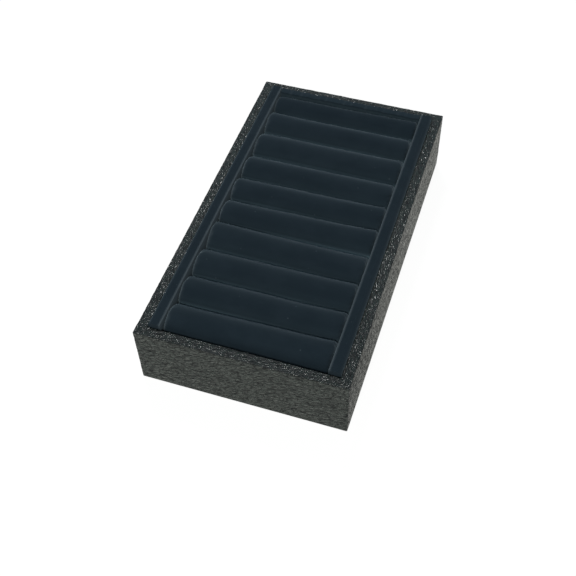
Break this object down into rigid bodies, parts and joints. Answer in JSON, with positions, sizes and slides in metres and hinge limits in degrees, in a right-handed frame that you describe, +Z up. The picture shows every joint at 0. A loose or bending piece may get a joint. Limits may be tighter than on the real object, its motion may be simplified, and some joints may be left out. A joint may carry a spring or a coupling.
{
  "type": "ring display tray",
  "caption": "Rectangular board tray covered in black leatherette, holding a lift-out pad of parallel velvet-covered foam bars that grip rings between them.",
  "frame": {"origin": "on the underside, under the middle of the tray", "axes": "+Z up, +X across the tray to the right, +Y along the tray from the near end to the far end"},
  "size_m": [0.11, 0.2, 0.041],
  "materials": {
    "leatherette": "satin",
    "velvet": "matte",
    "foam": "matte",
    "fibreboard": "matte",
    "card": "matte",
    "lining_paper": "matte",
    "underside_felt": "matte"
  },
  "bodies": {
    "tray": {"base_board": "fibreboard", "left_wall_board": "fibreboard", "right_wall_board": "fibreboard", "near_wall_board": "fibreboard", "far_wall_board": "fibreboard", "leatherette_wrap": "leatherette", "underside_felt": "underside_felt", "floor_lining": "lining_paper"},
    "pad": {"pad_card": "card", "foam_underlay": "foam", "left_rail_board": "fibreboard", "left_rail_velvet": "velvet", "right_rail_board": "fibreboard", "right_rail_velvet": "velvet", "far_strip_card": "card", "far_strip_velvet": "velvet", "foam_bar_01": "foam", "velvet_bar_01": "velvet", "foam_bar_02": "foam", "velvet_bar_02": "velvet", "foam_bar_03": "foam", "velvet_bar_03": "velvet", "foam_bar_04": "foam", "velvet_bar_04": "velvet", "foam_bar_05": "foam", "velvet_bar_05": "velvet", "foam_bar_06": "foam", "velvet_bar_06": "velvet", "foam_bar_07": "foam", "velvet_bar_07": "velvet", "foam_bar_08": "foam", "velvet_bar_08": "velvet", "foam_bar_09": "foam", "velvet_bar_09": "velvet", "foam_bar_10": "foam", "velvet_bar_10": "velvet"}
  },
  "joints": [
    {"name": "insert_lift", "type": "slide", "parent": "tray", "child": "pad", "axis": [0, 0, 1], "range_m": [0, 0.045]}
  ]
}
